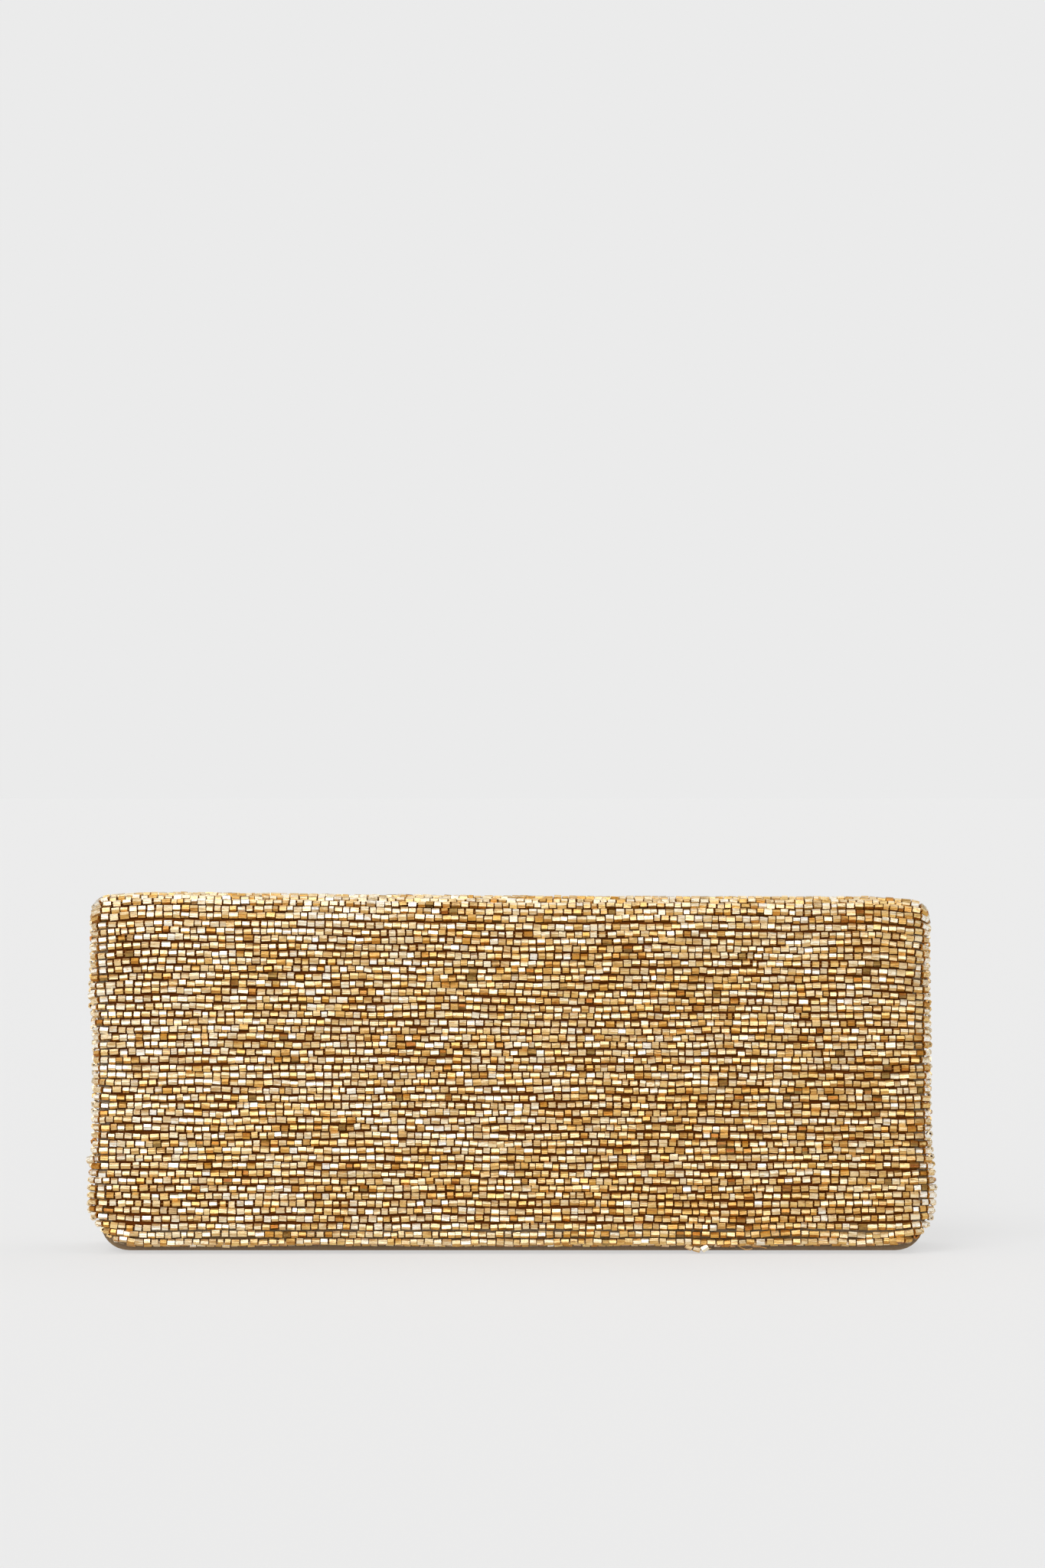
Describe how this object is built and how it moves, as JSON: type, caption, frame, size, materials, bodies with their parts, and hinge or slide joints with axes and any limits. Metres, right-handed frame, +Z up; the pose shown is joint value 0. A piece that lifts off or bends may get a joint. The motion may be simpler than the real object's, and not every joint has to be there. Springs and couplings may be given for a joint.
{
  "type": "evening bag",
  "caption": "Fold-over evening clutch: beaded back, soft fold and full front flap over a satin pouch with folded gussets, slip pocket and hidden magnetic snap.",
  "frame": {"origin": "on the floor under the middle of the bag", "axes": "+Z up, front of the bag towards -Y, width along X"},
  "size_m": [0.24, 0.0372, 0.1023],
  "materials": {
    "beading": "rows of six-sided glass beads, gold lined",
    "satin": "gold satin",
    "lining_satin": "pale gold satin",
    "felt": "felt",
    "card": "grey board",
    "gilt_metal": "polished",
    "magnet": "nickel plated"
  },
  "bodies": {
    "pouch": {"back_beading": "beading", "back_padding": "felt", "back_board": "card", "back_lining": "lining_satin", "slip_pocket": "lining_satin", "pocket_hem": "satin", "base_cover": "satin", "base_board": "card", "base_lining": "lining_satin", "gusset_left": "satin", "gusset_right": "satin"},
    "front_wall": {"front_cover": "satin", "front_padding": "felt", "front_board": "card", "front_lining": "lining_satin", "mouth_binding": "satin", "socket_shell": "gilt_metal", "socket_magnet": "magnet", "socket_washer": "gilt_metal"},
    "fold_1": {"fold_beading_1": "beading", "fold_lining_1": "lining_satin"},
    "fold_2": {"fold_beading_2": "beading", "fold_lining_2": "lining_satin"},
    "fold_3": {"fold_beading_3": "beading", "fold_lining_3": "lining_satin"},
    "fold_4": {"fold_beading_4": "beading", "fold_lining_4": "lining_satin"},
    "fold_5": {"fold_beading_5": "beading", "fold_lining_5": "lining_satin"},
    "flap": {"flap_beading": "beading", "flap_padding": "felt", "flap_board": "card", "flap_lining": "lining_satin", "snap_stud": "gilt_metal", "stud_washer": "gilt_metal"}
  },
  "joints": [
    {"name": "flap_opening", "type": "hinge", "parent": "pouch", "child": "flap", "pos_m": [0, 0, 0.10521], "axis": [-1, 0, 0], "range_deg": [0, 180]},
    {"name": "fold_roll_1", "type": "hinge", "parent": "pouch", "child": "fold_1", "pos_m": [0, 0.0083, 0.09447], "axis": [-1, 0, 0], "range_deg": [0, 30.01]},
    {"name": "fold_roll_2", "type": "hinge", "parent": "pouch", "child": "fold_2", "pos_m": [0, 0.0076, 0.09658], "axis": [-1, 0, 0], "range_deg": [0, 60.01]},
    {"name": "fold_roll_3", "type": "hinge", "parent": "pouch", "child": "fold_3", "pos_m": [0, 0.00651, 0.09869], "axis": [-1, 0, 0], "range_deg": [0, 90.01]},
    {"name": "fold_roll_4", "type": "hinge", "parent": "pouch", "child": "fold_4", "pos_m": [0, 0.00498, 0.10082], "axis": [-1, 0, 0], "range_deg": [0, 120.01]},
    {"name": "fold_roll_5", "type": "hinge", "parent": "pouch", "child": "fold_5", "pos_m": [0, 0.00288, 0.10298], "axis": [-1, 0, 0], "range_deg": [0, 150.01]},
    {"name": "mouth_gape", "type": "hinge", "parent": "pouch", "child": "front_wall", "pos_m": [0, -0.0122, 0.0005], "axis": [1, 0, 0], "range_deg": [0, 12.01], "deforming": ["gusset_left", "gusset_right"]}
  ],
  "couplings": [
    {"joint": "fold_roll_1", "follows": "flap_opening", "ratio": 0.16667},
    {"joint": "fold_roll_2", "follows": "flap_opening", "ratio": 0.33333},
    {"joint": "fold_roll_3", "follows": "flap_opening", "ratio": 0.5},
    {"joint": "fold_roll_4", "follows": "flap_opening", "ratio": 0.66667},
    {"joint": "fold_roll_5", "follows": "flap_opening", "ratio": 0.83333},
    {"joint": "mouth_gape", "follows": "flap_opening", "ratio": 0.066667}
  ]
}
